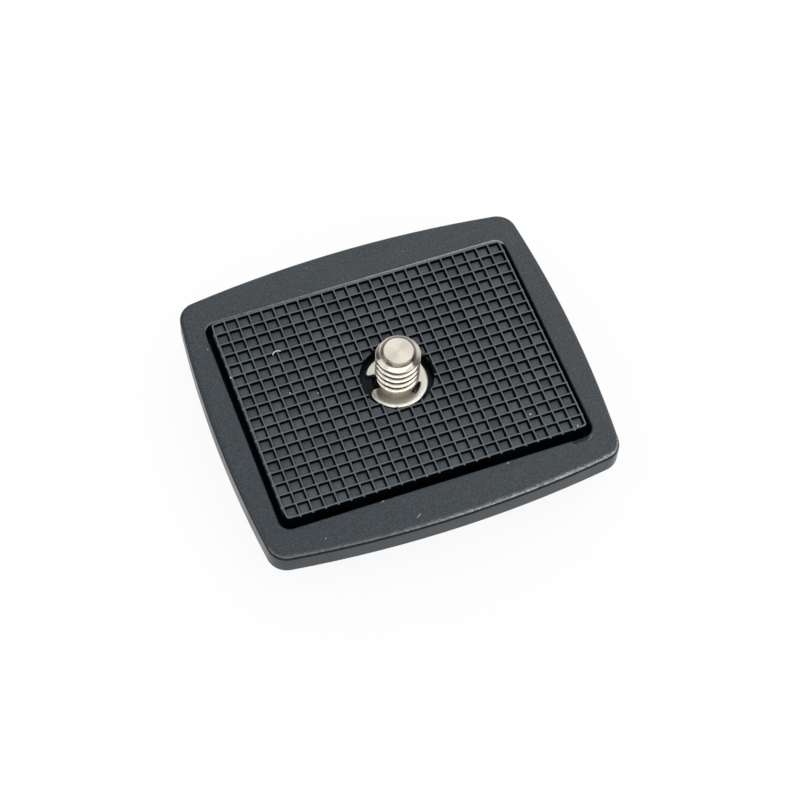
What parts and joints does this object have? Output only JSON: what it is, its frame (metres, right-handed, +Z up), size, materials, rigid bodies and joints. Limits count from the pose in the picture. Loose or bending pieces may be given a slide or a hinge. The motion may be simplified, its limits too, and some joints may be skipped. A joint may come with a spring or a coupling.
{
  "type": "tripod quick release plate",
  "caption": "Tripod quick release plate: bowed flange on a dovetail foot, waffle rubber pad, captive camera screw with a spring clip and a folding wire ring.",
  "frame": {"origin": "on the camera screw's axis, at the bottom of the foot", "axes": "+X along the long side of the plate and its dovetail, +Y along the short side, +Z up along the screw towards the camera"},
  "size_m": [0.0534, 0.0466, 0.0169],
  "materials": {
    "plate": "fine spark-eroded satin, dark charcoal",
    "pad": "matt black rubber",
    "screw": "bright nickel plate",
    "clip": "bright nickel plate",
    "ring": "bright nickel plate"
  },
  "bodies": {
    "plate": {"base_plate": "plate", "grip_pad": "pad"},
    "clip": {"retaining_clip": "clip"},
    "screw": {"camera_screw": "screw"},
    "ring": {"d_ring": "ring"}
  },
  "joints": [
    {"name": "screw_float", "type": "slide", "parent": "plate", "child": "clip", "axis": [0, 0, 1], "range_m": [0, 0.0011]},
    {"name": "screw_turn", "type": "hinge", "parent": "clip", "child": "screw", "pos_m": [0, 0, 0.0089], "axis": [0, 0, 1], "continuous": true},
    {"name": "ring_fold", "type": "hinge", "parent": "screw", "child": "ring", "pos_m": [0, 0, 0.004], "axis": [1, 0, 0], "range_deg": [0, 180]}
  ]
}
